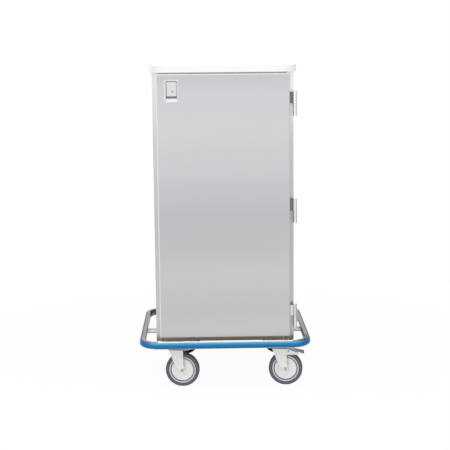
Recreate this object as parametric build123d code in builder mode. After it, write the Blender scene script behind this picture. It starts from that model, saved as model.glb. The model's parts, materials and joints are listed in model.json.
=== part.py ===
"""Closed case cart: a stainless cabinet on four swivel casters inside a bumper ring.

Millimetres, +Z up. X runs across the front, -Y is the front (the door side).
The origin is on the floor, under the middle of the bumper ring.
"""

from build123d import *
import os
from math import cos, radians, sin

os.makedirs("parts", exist_ok=True)

# Cabinet body
body_width = 616
body_depth = 584
body_bottom = 210
skirt_bottom = 1405
roof_height = 33
sheet = 1.5
bend_radius = 2.25
seam_gap = 0.3

# Front frame
post_width = 32
post_return = 18
header_height = 62
floor_height = 254
kick_strip_lap = 7.5
kick_strip_gap = 2

# Roof cap
cap_side_overhang = 7.5
cap_front_overhang = 32
cap_back_overhang = 5
cap_corner_radius = 6
cap_edge_radius = 2.5

# Door
door_bottom = 234
door_width = 580
door_height = 1164
door_thickness = 24
gasket_gap = 4
gasket_width = 10
gasket_inset = 2
door_edge_radius = 1.5
door_fit = 0.3
liner_flange = 8
gasket_corner_radius = 4
gasket_round = 1.5

# Door hinges
hinge_height = 107
hinge_heights = {"upper": 1268, "middle": 798, "lower": 326}
barrel_radius = 7.25
pin_radius = 3
pin_clearance = 0.06
barrel_offset = 5.25
leaf_thickness = 3
leaf_length = 46
leaf_top_drop = 4
leaf_edge_margin = 1
knuckle_cap = 3
pin_end_gap = 2
knuckle_gap = 0.6
hinge_screw_radius = 2.1
hinge_screw_head_radius = 4
hinge_screw_spacing = 30
hinge_screw_setback = 30
hinge_screw_length = 12
door_screw_inset = 10
screw_clearance = 0.1
countersink_angle = 40

# Latch
latch_x = -223
latch_z = 1323.5
latch_flange_width = 62
latch_flange_height = 99
latch_pocket_width = 46
latch_pocket_height = 90
latch_pocket_depth = 19
latch_flange_corner = 3
paddle_width = 41
paddle_height = 60
paddle_thickness = 5
paddle_corner = 2
paddle_edge_radius = 1
paddle_top_gap = 5
paddle_pin_radius = 2
paddle_pin_drop = 6
paddle_pin_depth = 9.5
ear_width = 2.5
ear_depth = 9
ear_height = 12.5
lip_inset = 2
lock_radius = 7
lock_offset = 4
lock_drop = 39.5
lock_length = 15
lock_proud = 1
lock_edge_radius = 0.6
keyway_width = 1.2
keyway_height = 6
keyway_depth = 3
cam_length = 14
cam_width = 4
cam_thickness = 2
case_width = 72
case_height = 76
case_depth = 26
case_flange = 9
bolt_height = 18
bolt_depth = 9
bolt_reach = 8
bolt_setback = 9
bolt_clearance = 0.3
bolt_length = 46
bolt_bevel = 5
bolt_tail_radius = 2
bolt_tail_length = 26
bolt_tail_proud = 4
spring_wire_radius = 0.6
spring_radius = 3.4
spring_pitch = 4
spring_end_gap = 0.3
strike_length = 60
strike_width = 28
strike_side_clearance = 1.5
strike_end_clearance = 3
latch_screw_radius = 1.8
latch_screw_head_radius = 3.5
latch_screw_head_height = 1.5
latch_screw_length = 8
latch_screw_inset = 4.5

# Shelves
standard_width = 18
standard_depth = 9
slot_pitch = 25
slot_height = 12
slot_width = 5
standard_inset = 50
standard_floor_gap = 16
standard_header_gap = 20
shelf_heights = {"lower": 620, "upper": 990}
shelf_rod_radius = 3
shelf_wire_radius = 1.6
shelf_wire_count = 23
shelf_cross_rods = 5
shelf_side_gap = 2
shelf_end_gap = 12
shelf_weld = 1
clip_height = 16
clip_width = 10
clip_reach = 12
clip_tongue = 3
clip_plate = 2.5
clip_gap = 0.3

# Base frame
rail_width = 100
rail_height = 22
rail_wall = 2
rail_inset = 75

# Bumper
bumper_width = 770
bumper_depth = 728
bumper_corner_radius = 95
bumper_height = 32
channel_depth = 14
channel_lip = 4
strip_bulge = 9
strip_round = 8
strip_clearance = 0.2
strip_lip_cover = 1

# Casters
caster_inset = 90
wheel_radius = 76.2
tyre_inner_radius = 60.5
tyre_width = 32
tread_round = 7
core_width = 28
rim_lip_inner_radius = 54.5
disc_radius = 48.5
groove_depth = 5
disc_recess = 1
hub_wall = 6
hub_width = 38
bush_radius = 8
axle_radius = 5
axle_clearance = 0.06
trail = 40
fork_gap = 41
leg_thickness = 3.5
crown_top = 172
crown_thickness = 4
crown_lead = 21
crown_tail = 44
leg_tail = 46
leg_tail_height = 100
leg_bend_x = -4
leg_bend_height = 130
leg_belly = 4
axle_boss_radius = 12
web_bottom = 148
race_radius = 24
race_height = 4
race_gap = 0.4
race_rim = 2
kingpin_radius = 8
kingpin_clearance = 0.06
kingpin_head_radius = 13
kingpin_head_height = 4
axle_head_radius = 8.5
axle_head_height = 5
axle_socket_radius = 4
axle_socket_depth = 3
plate_length = 110
plate_width = 94
plate_thickness = 3
plate_corner = 8
bolt_spacing_x = 74
bolt_spacing_y = 88
bolt_radius = 4
bolt_hole_clearance = 0.4
bolt_head_height = 5.3
bolt_head_flats = 13
bolt_grip = 14
hex_sides = 6

# Caster brakes
cheek_root = 10
cheek_shoulder = 14
cheek_shoulder_drop = 6
cheek_reach = 103
cheek_nose = 8
cheek_bottom = 142
pedal_pivot_x = 54
pedal_pivot_z = 160
pedal_pin_radius = 4
pedal_pin_clearance = 0.1
pedal_hub_radius = 7
pedal_heel = 6
pedal_reach = 123
pedal_top = 171
pedal_drop = 18.5
pedal_pad_length = 17
pedal_width = 44
pedal_arm_width = 38
pedal_thickness = 5
shoe_width = 28
shoe_reach = 32
shoe_drop = 18
shoe_clearance = 2
pedal_travel = 8

# Where each caster stands, the way its wheel trails and whether it has a brake
casters = {
    "front_left": (-1, -1, -5, False),
    "front_right": (1, -1, -6, True),
    "rear_left": (-1, 1, 3, True),
    "rear_right": (1, 1, -4, False),
}

# Places that several pieces share
side = body_width / 2
front = -body_depth / 2
back = body_depth / 2
cap_bottom = skirt_bottom
cap_top = skirt_bottom + roof_height
panel_top = cap_top - sheet
door_back = front - gasket_gap
door_front = door_back - door_thickness
door_top = door_bottom + door_height
pivot_x = side + barrel_offset
pivot_y = door_front
rail_bottom = body_bottom - rail_height
post_inner = side - post_width
latch_front = door_front - sheet
bumper_bottom = rail_bottom
channel_width = bumper_width - 2 * strip_bulge
channel_length = bumper_depth - 2 * strip_bulge
channel_radius = bumper_corner_radius - strip_bulge
web_x = channel_width / 2 - channel_depth
web_y = channel_length / 2 - channel_depth


def box(x0, x1, y0, y1, z0, z1, mode=Mode.ADD):
    """A plain block between two corners, in the part that is being built."""
    with BuildSketch(Plane.XY.offset(z0), mode=Mode.PRIVATE) as outline:
        with Locations(((x0 + x1) / 2, (y0 + y1) / 2)):
            Rectangle(abs(x1 - x0), abs(y1 - y0))
    extrude(outline.sketch, amount=z1 - z0, mode=mode)


def keep(piece, name):
    """Label a finished piece and write it to its file."""
    piece.part.label = name
    export_step(piece.part, f"parts/{name}.step")


# Cabinet shell: two flat side panels, angle posts welded over their front edges,
# a back panel welded over their rear edges, a floor pan, a header, a sill with
# a kick strip across its front, and a roof cap.

bolt_y = front + bolt_setback
bolt_slot_half_depth = bolt_depth / 2 + strike_side_clearance
bolt_slot_half_height = bolt_height / 2 + strike_end_clearance
hinge_screw_y = front + hinge_screw_setback


def hinge_screw_heights(height, hand):
    """The two screw heights of a hinge's upper or lower half."""
    middle = height + hand * hinge_height / 4
    return [middle - hinge_screw_spacing / 2, middle + hinge_screw_spacing / 2]


for name, hand in (("left", -1), ("right", 1)):
    with BuildPart() as side_panel:
        wall = (hand * (side - sheet), hand * side)
        box(*wall, front + sheet, back - sheet, body_bottom, panel_top)
        if name == "right":
            with BuildSketch(Plane.YZ.offset(side - sheet)):
                for height in hinge_heights.values():
                    for screw_z in hinge_screw_heights(height, -1):
                        with Locations((hinge_screw_y, screw_z)):
                            Circle(hinge_screw_radius)
            extrude(amount=sheet, mode=Mode.SUBTRACT)
    keep(side_panel, f"side_panel_{name}")

with BuildPart() as door_posts:
    for hand in (-1, 1):
        lip = hand * (post_inner + sheet / 2)
        with BuildSketch(Plane.XY.offset(body_bottom)):
            with BuildLine():
                FilletPolyline(
                    (lip, front + post_return),
                    (lip, front + sheet / 2),
                    (hand * side, front + sheet / 2),
                    radius=bend_radius,
                )
            trace(line_width=sheet)
        extrude(amount=panel_top - body_bottom)
    box(
        -post_inner - sheet,
        -post_inner,
        bolt_y - bolt_slot_half_depth,
        bolt_y + bolt_slot_half_depth,
        latch_z - bolt_slot_half_height,
        latch_z + bolt_slot_half_height,
        mode=Mode.SUBTRACT,
    )
keep(door_posts, "door_posts")

with BuildPart() as back_panel:
    box(-side, side, back - sheet, back, body_bottom, panel_top)
keep(back_panel, "back_panel")

inner_x = side - sheet - seam_gap
pan_front = front + post_return + seam_gap
pan_back = back - sheet
with BuildPart() as floor_panel:
    box(-inner_x, inner_x, pan_front, pan_back, body_bottom, floor_height)
    box(
        -inner_x + sheet,
        inner_x - sheet,
        pan_front + sheet,
        pan_back - sheet,
        body_bottom,
        floor_height - sheet,
        mode=Mode.SUBTRACT,
    )
keep(floor_panel, "floor_panel")

frame_half = post_inner
header_bottom = panel_top - header_height
with BuildPart() as header:
    with BuildSketch(Plane.YZ.offset(-frame_half)):
        with BuildLine():
            FilletPolyline(
                (front + post_return, header_bottom + sheet / 2),
                (front + sheet / 2, header_bottom + sheet / 2),
                (front + sheet / 2, panel_top - sheet / 2),
                (front + post_return, panel_top - sheet / 2),
                radius=bend_radius,
            )
        trace(line_width=sheet)
    extrude(amount=2 * frame_half)
keep(header, "header")

kick_half = frame_half + kick_strip_lap
with BuildPart() as sill:
    with BuildSketch(Plane.YZ.offset(-frame_half)):
        with BuildLine():
            FilletPolyline(
                (pan_front, floor_height - sheet / 2),
                (front + sheet / 2, floor_height - sheet / 2),
                (front + sheet / 2, body_bottom),
                radius=bend_radius,
            )
        trace(line_width=sheet)
    extrude(amount=2 * frame_half)
    box(-kick_half, kick_half, front - sheet, front, body_bottom, door_bottom - kick_strip_gap)
keep(sill, "sill")

cap_x = side + cap_side_overhang
cap_front = front - cap_front_overhang
cap_back = back + cap_back_overhang
cap_middle = (cap_front + cap_back) / 2
with BuildPart() as top_cap:
    with BuildSketch(Plane.XY.offset(cap_bottom)):
        with Locations((0, cap_middle)):
            RectangleRounded(2 * cap_x, cap_back - cap_front, cap_corner_radius)
    extrude(amount=roof_height)
    fillet(top_cap.faces().sort_by(Axis.Z)[-1].edges(), cap_edge_radius)
    with BuildSketch(Plane.XY.offset(cap_bottom + sheet)):
        with Locations((0, cap_middle)):
            RectangleRounded(
                2 * (cap_x - sheet),
                cap_back - cap_front - 2 * sheet,
                cap_corner_radius - sheet,
            )
    extrude(amount=roof_height - 2 * sheet, mode=Mode.SUBTRACT)
    box(
        -side - seam_gap,
        side + seam_gap,
        front - seam_gap,
        back + seam_gap,
        cap_bottom,
        cap_bottom + sheet,
        mode=Mode.SUBTRACT,
    )
keep(top_cap, "top_cap")

# Inside the cabinet: four slotted standards, eight clips and two wire shelves.

standard_bottom = floor_height + standard_floor_gap
standard_top = header_bottom - standard_header_gap
standard_y = back - standard_inset
standard_face = side - sheet - standard_depth
slot_count = int((standard_top - standard_bottom - slot_pitch) / slot_pitch)

with BuildPart() as shelf_standards:
    for hand in (-1, 1):
        for end in (-1, 1):
            y0 = end * standard_y - standard_width / 2
            y1 = end * standard_y + standard_width / 2
            x_wall = hand * (side - sheet)
            x_face = hand * standard_face
            x_inner = hand * (standard_face + sheet)
            with BuildSketch(Plane.YZ.offset(min(x_face, x_inner))):
                with Locations((end * standard_y, (standard_bottom + standard_top) / 2)):
                    Rectangle(standard_width, standard_top - standard_bottom)
                    with GridLocations(0, slot_pitch, 1, slot_count):
                        Rectangle(slot_width, slot_height, mode=Mode.SUBTRACT)
            extrude(amount=sheet)
            box(x_face, x_wall, y0, y0 + sheet, standard_bottom, standard_top)
            box(x_face, x_wall, y1 - sheet, y1, standard_bottom, standard_top)
keep(shelf_standards, "shelf_standards")

with BuildPart() as shelf_clips:
    for height in shelf_heights.values():
        for hand in (-1, 1):
            for end in (-1, 1):
                y0 = end * standard_y - clip_width / 2
                y1 = end * standard_y + clip_width / 2
                x0 = hand * standard_face
                box(x0, x0 - hand * clip_reach, y0, y1, height - clip_tongue, height)
                box(x0, x0 - hand * clip_plate, y0, y1, height - clip_height, height)
keep(shelf_clips, "shelf_clips")

shelf_x = standard_face - shelf_side_gap - shelf_rod_radius
shelf_front = front + post_return + shelf_end_gap
shelf_back = pan_back - shelf_end_gap
shelf_span = shelf_back - shelf_front


def rods(plane, places, radius, length):
    """Round rods that start on one plane and run square to it."""
    with BuildSketch(plane, mode=Mode.PRIVATE) as ends:
        with Locations(*places):
            Circle(radius)
    extrude(ends.sketch, amount=length)


for level, height in shelf_heights.items():
    rod_z = height + shelf_rod_radius + clip_gap
    wire_z = rod_z + shelf_rod_radius + shelf_wire_radius - shelf_weld
    wire_pitch = 2 * shelf_x / (shelf_wire_count + 1)
    cross_pitch = shelf_span / (shelf_cross_rods - 1)
    with BuildPart() as shelf:
        rods(
            Plane.YZ.offset(-shelf_x),
            [(shelf_front + i * cross_pitch, rod_z) for i in range(shelf_cross_rods)],
            shelf_rod_radius,
            2 * shelf_x,
        )
        edge_plane = Plane(origin=(0, shelf_front, 0), x_dir=(1, 0, 0), z_dir=(0, 1, 0))
        rods(
            edge_plane,
            [(-shelf_x, -rod_z), (shelf_x, -rod_z)],
            shelf_rod_radius,
            shelf_span,
        )
        rods(
            edge_plane,
            [(-shelf_x + (i + 1) * wire_pitch, -wire_z) for i in range(shelf_wire_count)],
            shelf_wire_radius,
            shelf_span,
        )
    keep(shelf, f"shelf_{level}")

# Base frame: two box rails under the floor pan, which the casters bolt to, and
# three cross ties, all ending on the web of the bumper channel.

rail_x = side - rail_inset
caster_y = bumper_depth / 2 - caster_inset


def box_section(plane, width, centre, length):
    """A hollow rail of the base frame, as wide as given, run square to a plane."""
    with BuildSketch(plane, mode=Mode.PRIVATE) as section:
        with Locations(centre):
            Rectangle(width, rail_height)
            Rectangle(width - 2 * rail_wall, rail_height - 2 * rail_wall, mode=Mode.SUBTRACT)
    extrude(section.sketch, amount=length)


rail_z = body_bottom - rail_height / 2
rail_start = Plane(origin=(0, -web_y, 0), x_dir=(1, 0, 0), z_dir=(0, 1, 0))
with BuildPart() as base_rails:
    for hand in (-1, 1):
        box_section(rail_start, rail_width, (hand * rail_x, -rail_z), 2 * web_y)
        with BuildSketch(Plane.XY.offset(rail_bottom)):
            for end in (-1, 1):
                with Locations((hand * rail_x, end * caster_y)):
                    with GridLocations(bolt_spacing_x, bolt_spacing_y, 2, 2):
                        Circle(bolt_radius + bolt_hole_clearance)
        extrude(amount=rail_wall, mode=Mode.SUBTRACT)
keep(base_rails, "base_rails")

with BuildPart() as cross_ties:
    rail_inner = rail_x - rail_width / 2
    rail_outer = rail_x + rail_width / 2
    box_section(Plane.YZ.offset(-rail_inner), rail_width, (0, rail_z), 2 * rail_inner)
    box_section(Plane.YZ.offset(-web_x), rail_width, (0, rail_z), web_x - rail_outer)
    box_section(Plane.YZ.offset(rail_outer), rail_width, (0, rail_z), web_x - rail_outer)
keep(cross_ties, "cross_ties")

# Bumper: a lipped channel bent into a ring, with a vinyl strip held in it.


def ring(bottom, height, outer, inner, mode=Mode.ADD):
    """A flat ring between two outlines, each so far inside the channel's own."""
    with BuildSketch(Plane.XY.offset(bottom), mode=Mode.PRIVATE) as band:
        RectangleRounded(
            channel_width - 2 * outer, channel_length - 2 * outer, channel_radius - outer
        )
        RectangleRounded(
            channel_width - 2 * inner,
            channel_length - 2 * inner,
            channel_radius - inner,
            mode=Mode.SUBTRACT,
        )
    extrude(band.sketch, amount=height, mode=mode)


bumper_top = bumper_bottom + bumper_height
with BuildPart() as bumper_channel:
    ring(bumper_bottom, bumper_height, channel_depth - sheet, channel_depth)
    ring(bumper_bottom, sheet, 0, channel_depth)
    ring(bumper_top - sheet, sheet, 0, channel_depth)
    ring(bumper_bottom, channel_lip, 0, sheet)
    ring(bumper_top - channel_lip, channel_lip, 0, sheet)
keep(bumper_channel, "bumper_channel")

strip_bottom = bumper_bottom + channel_lip - strip_lip_cover
strip_top = bumper_top - channel_lip + strip_lip_cover
neck_bottom = bumper_bottom + channel_lip + strip_clearance
neck_top = bumper_top - channel_lip - strip_clearance
root_bottom = bumper_bottom + sheet + strip_clearance
root_top = bumper_top - sheet - strip_clearance
root_outer = sheet + strip_clearance
root_inner = channel_depth - sheet - strip_clearance
with BuildPart() as bumper_strip:
    ring(strip_bottom, strip_top - strip_bottom, -strip_bulge, -strip_clearance)
    crown_edges = bumper_strip.faces().sort_by(Axis.Z)[-1].outer_wire().edges()
    crown_edges += bumper_strip.faces().sort_by(Axis.Z)[0].outer_wire().edges()
    fillet(crown_edges, strip_round)
    ring(neck_bottom, neck_top - neck_bottom, -strip_clearance, root_outer)
    ring(root_bottom, root_top - root_bottom, root_outer, root_inner)
keep(bumper_strip, "bumper_strip")

# Door: an outer pan, an inner liner inside its flanges, and a gasket that meets
# the front frame.

door_half = door_width / 2
pocket_half_width = latch_pocket_width / 2 + sheet
pocket_half_height = latch_pocket_height / 2 + sheet
case_half_width = case_width / 2
case_half_height = case_height / 2
liner_front = door_back - sheet
latch_screw_x = case_half_width + case_flange - latch_screw_inset
latch_screw_z = case_half_height + case_flange - latch_screw_inset
latch_screw_places = [
    (latch_x + i * latch_screw_x, latch_z + j * latch_screw_z) for i in (-1, 1) for j in (-1, 1)
]
door_screw_y = door_front + door_screw_inset


def facing(y):
    """A plane that faces the front, with its own x along X and its y up."""
    return Plane(origin=(0, y, 0), x_dir=(1, 0, 0), z_dir=(0, -1, 0))

with BuildPart() as door_skin:
    box(-door_half, door_half, door_front, door_back, door_bottom, door_top)
    corner_edges = door_skin.edges().filter_by(Axis.Z).group_by(Axis.Y)[0]
    fillet(corner_edges, door_edge_radius)
    fillet(door_skin.faces().sort_by(Axis.Y)[0].edges(), door_edge_radius / 2)
    box(
        -door_half + sheet,
        door_half - sheet,
        door_front + sheet,
        door_back,
        door_bottom + sheet,
        door_top - sheet,
        mode=Mode.SUBTRACT,
    )
    box(
        latch_x - pocket_half_width - door_fit,
        latch_x + pocket_half_width + door_fit,
        door_front,
        door_front + sheet,
        latch_z - pocket_half_height - door_fit,
        latch_z + pocket_half_height + door_fit,
        mode=Mode.SUBTRACT,
    )
    with BuildSketch(Plane.YZ.offset(door_half - sheet)):
        for height in hinge_heights.values():
            for screw_z in hinge_screw_heights(height, 1):
                with Locations((door_screw_y, screw_z)):
                    Circle(hinge_screw_radius)
    extrude(amount=sheet, mode=Mode.SUBTRACT)
keep(door_skin, "door_skin")

liner_x = door_half - sheet
with BuildPart() as door_liner:
    box(
        -liner_x,
        liner_x,
        liner_front - liner_flange,
        door_back,
        door_bottom + sheet,
        door_top - sheet,
    )
    box(
        -liner_x + sheet,
        liner_x - sheet,
        liner_front - liner_flange,
        liner_front,
        door_bottom + 2 * sheet,
        door_top - 2 * sheet,
        mode=Mode.SUBTRACT,
    )
    box(
        latch_x - case_half_width - door_fit,
        latch_x + case_half_width + door_fit,
        liner_front,
        door_back,
        latch_z - case_half_height - door_fit,
        latch_z + case_half_height + door_fit,
        mode=Mode.SUBTRACT,
    )
    with BuildSketch(facing(door_back)):
        with Locations(*latch_screw_places):
            Circle(latch_screw_radius + screw_clearance)
    extrude(amount=sheet, mode=Mode.SUBTRACT)
keep(door_liner, "door_liner")

gasket_x = door_half - gasket_inset
gasket_bottom = door_bottom + gasket_inset
gasket_top = door_top - gasket_inset
gasket_thickness = gasket_gap - seam_gap
with BuildPart() as door_gasket:
    middle = (gasket_bottom + gasket_top) / 2
    tall = gasket_top - gasket_bottom
    with BuildSketch(Plane(origin=(0, door_back, 0), x_dir=(1, 0, 0), z_dir=(0, 1, 0))):
        with Locations((0, -middle)):
            RectangleRounded(2 * gasket_x, tall, gasket_corner_radius)
            inside = (2 * (gasket_x - gasket_width), tall - 2 * gasket_width)
            Rectangle(*inside, mode=Mode.SUBTRACT)
    extrude(amount=gasket_thickness)
    fillet(door_gasket.faces().sort_by(Axis.Y)[-1].edges(), gasket_round)
keep(door_gasket, "door_gasket")

# Hinges: each has a cabinet leaf with the lower knuckle, a pin fixed in it, and
# a door leaf whose upper knuckle turns on the pin and lifts off.

leaf_start = door_half + door_fit
leaf_outer = leaf_start + leaf_thickness
leaf_back = door_back - leaf_edge_margin


def screw(plane, place, length):
    """A countersunk screw, driven inwards from a plane, its head flush with it."""
    rods(plane, [place], hinge_screw_radius - screw_clearance, -length)
    with BuildSketch(plane, mode=Mode.PRIVATE) as head:
        with Locations(place):
            Circle(hinge_screw_head_radius)
    extrude(head.sketch, amount=-leaf_thickness / 2, taper=countersink_angle)


def screw_seats(plane, places):
    """Countersunk holes through a hinge leaf, opened from its outer face."""
    with BuildSketch(plane, mode=Mode.PRIVATE) as seats:
        with Locations(*places):
            Circle(hinge_screw_head_radius)
    seat_depth = leaf_thickness / 2
    extrude(seats.sketch, amount=-seat_depth, taper=countersink_angle, mode=Mode.SUBTRACT)
    with BuildSketch(plane, mode=Mode.PRIVATE) as holes:
        with Locations(*places):
            Circle(hinge_screw_radius)
    extrude(holes.sketch, amount=-leaf_thickness, mode=Mode.SUBTRACT)


def knuckle(bottom, height, radius, mode=Mode.ADD):
    """A round length on the hinge line: a knuckle, its bore or a pin."""
    with BuildSketch(Plane.XY.offset(bottom), mode=Mode.PRIVATE) as disc:
        with Locations((pivot_x, pivot_y)):
            Circle(radius)
    extrude(disc.sketch, amount=height, mode=mode)


cabinet_leaf_face = Plane.YZ.offset(side + leaf_thickness)
door_leaf_face = Plane.YZ.offset(leaf_outer)
half_knuckle = (hinge_height - knuckle_gap) / 2
for name, height in hinge_heights.items():
    low = height - hinge_height / 2
    high = height + hinge_height / 2
    split = high - half_knuckle
    leaf_top = high - leaf_top_drop
    with BuildPart() as door_leaf:
        knuckle(split, half_knuckle, barrel_radius)
        box(leaf_start, pivot_x, door_front, door_front + leaf_thickness, split, leaf_top)
        box(leaf_start, leaf_outer, door_front, leaf_back, split, leaf_top)
        knuckle(split, half_knuckle - knuckle_cap, pin_radius + pin_clearance, Mode.SUBTRACT)
        places = [(door_screw_y, screw_z) for screw_z in hinge_screw_heights(height, 1)]
        screw_seats(door_leaf_face, places)
    keep(door_leaf, f"hinge_door_leaf_{name}")

    with BuildPart() as cabinet_leaf:
        knuckle(low, half_knuckle, barrel_radius)
        box(side, side + leaf_thickness, pivot_y, front + leaf_length, low, low + half_knuckle)
        knuckle(low + knuckle_cap, half_knuckle - knuckle_cap, pin_radius, Mode.SUBTRACT)
        places = [(hinge_screw_y, screw_z) for screw_z in hinge_screw_heights(height, -1)]
        screw_seats(cabinet_leaf_face, places)
    keep(cabinet_leaf, f"hinge_cabinet_leaf_{name}")

with BuildPart() as hinge_pins:
    for height in hinge_heights.values():
        pin_length = hinge_height - 2 * knuckle_cap - pin_end_gap
        knuckle(height - hinge_height / 2 + knuckle_cap, pin_length, pin_radius)
keep(hinge_pins, "hinge_pins")

with BuildPart() as cabinet_hinge_screws:
    for height in hinge_heights.values():
        for screw_z in hinge_screw_heights(height, -1):
            screw(cabinet_leaf_face, (hinge_screw_y, screw_z), hinge_screw_length)
keep(cabinet_hinge_screws, "cabinet_hinge_screws")

with BuildPart() as door_hinge_screws:
    for height in hinge_heights.values():
        for screw_z in hinge_screw_heights(height, 1):
            screw(door_leaf_face, (door_screw_y, screw_z), hinge_screw_length)
keep(door_hinge_screws, "door_hinge_screws")

# Latch: a dish let into the door, a paddle on a pin at its top with a key lock
# in it, and behind the liner a case with the sprung bolt and its strike.

pocket_half_x = latch_pocket_width / 2
pocket_half_z = latch_pocket_height / 2
paddle_top = latch_z + pocket_half_z - paddle_top_gap
paddle_bottom = paddle_top - paddle_height
paddle_back = latch_front + paddle_thickness
pin_y = latch_front + paddle_pin_depth
pin_z = paddle_top - paddle_pin_drop

with BuildPart() as latch_dish:
    with BuildSketch(facing(door_front)):
        with Locations((latch_x, latch_z)):
            RectangleRounded(latch_flange_width, latch_flange_height, latch_flange_corner)
    extrude(amount=sheet)
    fillet(latch_dish.faces().sort_by(Axis.Y)[0].edges(), sheet / 2)
    box(
        latch_x - pocket_half_width,
        latch_x + pocket_half_width,
        door_front,
        door_front + latch_pocket_depth,
        latch_z - pocket_half_height,
        latch_z + pocket_half_height,
    )
    box(
        latch_x - pocket_half_x,
        latch_x + pocket_half_x,
        latch_front,
        door_front + latch_pocket_depth - sheet,
        latch_z - pocket_half_z,
        latch_z + pocket_half_z,
        mode=Mode.SUBTRACT,
    )
    with BuildSketch(Plane.YZ.offset(latch_x - pocket_half_width)):
        with Locations((pin_y, pin_z)):
            Circle(paddle_pin_radius + pin_clearance)
    extrude(amount=2 * pocket_half_width, mode=Mode.SUBTRACT)
keep(latch_dish, "latch_dish")

lock_x = latch_x + lock_offset
lock_z = paddle_top - lock_drop
with BuildPart() as latch_paddle:
    with BuildSketch(facing(paddle_back)):
        with Locations((latch_x, (paddle_top + paddle_bottom) / 2)):
            RectangleRounded(paddle_width, paddle_height, paddle_corner)
    extrude(amount=paddle_thickness)
    fillet(latch_paddle.faces().sort_by(Axis.Y)[0].edges(), paddle_edge_radius)
    for hand in (-1, 1):
        outer = latch_x + hand * paddle_width / 2
        inner = outer - hand * ear_width
        box(
            outer,
            inner,
            paddle_back,
            paddle_back + ear_depth,
            paddle_top - ear_height,
            paddle_top,
        )
    box(
        latch_x - paddle_width / 2 + lip_inset,
        latch_x + paddle_width / 2 - lip_inset,
        paddle_back,
        paddle_back + ear_depth,
        paddle_bottom,
        paddle_bottom + ear_width,
    )
    with BuildSketch(Plane.YZ.offset(latch_x - paddle_width / 2)):
        with Locations((pin_y, pin_z)):
            Circle(paddle_pin_radius + pin_clearance)
    extrude(amount=paddle_width, mode=Mode.SUBTRACT)
    with BuildSketch(facing(paddle_back)):
        with Locations((lock_x, lock_z)):
            Circle(lock_radius + pin_clearance)
    extrude(amount=paddle_thickness, mode=Mode.SUBTRACT)
keep(latch_paddle, "latch_paddle")

with BuildPart() as paddle_pin:
    with BuildSketch(Plane.YZ.offset(latch_x - pocket_half_width)):
        with Locations((pin_y, pin_z)):
            Circle(paddle_pin_radius)
    extrude(amount=2 * pocket_half_width)
keep(paddle_pin, "paddle_pin")

lock_front = latch_front - lock_proud
lock_back = lock_front + lock_length
with BuildPart() as lock_cylinder:
    with BuildSketch(facing(lock_back)):
        with Locations((lock_x, lock_z)):
            Circle(lock_radius)
    extrude(amount=lock_length)
    fillet(lock_cylinder.faces().sort_by(Axis.Y)[0].edges(), lock_edge_radius)
    with BuildSketch(facing(lock_front + keyway_depth)):
        with Locations((lock_x, lock_z)):
            Rectangle(keyway_width, keyway_height)
    extrude(amount=keyway_depth, mode=Mode.SUBTRACT)
    with BuildSketch(facing(lock_back)):
        with Locations((lock_x, lock_z + cam_length / 2)):
            Rectangle(cam_width, cam_length)
    extrude(amount=cam_thickness)
keep(lock_cylinder, "lock_cylinder")

case_left = latch_x - case_half_width
case_right = latch_x + case_half_width
case_back = door_back + case_depth
bolt_tip = -post_inner - bolt_reach
bolt_end = bolt_tip + bolt_length
guide_x = bolt_end + bolt_tail_length - bolt_tail_proud
flange_back = door_back + sheet

with BuildPart() as latch_case:
    box(
        case_left - case_flange,
        case_right + case_flange,
        door_back,
        flange_back,
        latch_z - case_half_height - case_flange,
        latch_z + case_half_height + case_flange,
    )
    box(
        case_left,
        case_right,
        door_back,
        case_back,
        latch_z - case_half_height,
        latch_z + case_half_height,
    )
    box(
        case_left + sheet,
        case_right - sheet,
        door_back,
        case_back - sheet,
        latch_z - case_half_height + sheet,
        latch_z + case_half_height - sheet,
        mode=Mode.SUBTRACT,
    )
    box(
        guide_x,
        guide_x + sheet,
        bolt_y - bolt_depth,
        case_back,
        latch_z - case_half_height,
        latch_z + case_half_height,
    )
    box(
        case_left,
        case_left + sheet,
        bolt_y - bolt_depth / 2 - bolt_clearance,
        bolt_y + bolt_depth / 2 + bolt_clearance,
        latch_z - bolt_height / 2 - bolt_clearance,
        latch_z + bolt_height / 2 + bolt_clearance,
        mode=Mode.SUBTRACT,
    )
    with BuildSketch(Plane.YZ.offset(guide_x)):
        with Locations((bolt_y, latch_z)):
            Circle(bolt_tail_radius + pin_clearance)
    extrude(amount=sheet, mode=Mode.SUBTRACT)
    with BuildSketch(facing(flange_back)):
        with Locations(*latch_screw_places):
            Circle(latch_screw_radius + screw_clearance)
    extrude(amount=sheet, mode=Mode.SUBTRACT)
keep(latch_case, "latch_case")

with BuildPart() as latch_bolt:
    with BuildSketch(Plane.XY.offset(latch_z - bolt_height / 2)):
        with BuildLine():
            Polyline(
                (bolt_tip, bolt_y - bolt_depth / 2),
                (bolt_end, bolt_y - bolt_depth / 2),
                (bolt_end, bolt_y + bolt_depth / 2),
                (bolt_tip + bolt_bevel, bolt_y + bolt_depth / 2),
                (bolt_tip, bolt_y + bolt_depth / 2 - bolt_bevel),
                close=True,
            )
        make_face()
    extrude(amount=bolt_height)
    with BuildSketch(Plane.YZ.offset(bolt_end)):
        with Locations((bolt_y, latch_z)):
            Circle(bolt_tail_radius)
    extrude(amount=bolt_tail_length)
keep(latch_bolt, "latch_bolt")

spring_length = guide_x - bolt_end - 2 * (spring_wire_radius + spring_end_gap)
with BuildPart() as bolt_spring:
    with BuildLine() as spring_line:
        coil = Helix(
            pitch=spring_pitch,
            height=spring_length,
            radius=spring_radius,
            center=(bolt_end + spring_wire_radius + spring_end_gap, bolt_y, latch_z),
            direction=(1, 0, 0),
        )
    with BuildSketch(Plane(origin=coil @ 0, z_dir=coil % 0)):
        Circle(spring_wire_radius)
    sweep(path=coil, is_frenet=True)
keep(bolt_spring, "bolt_spring")

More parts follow.
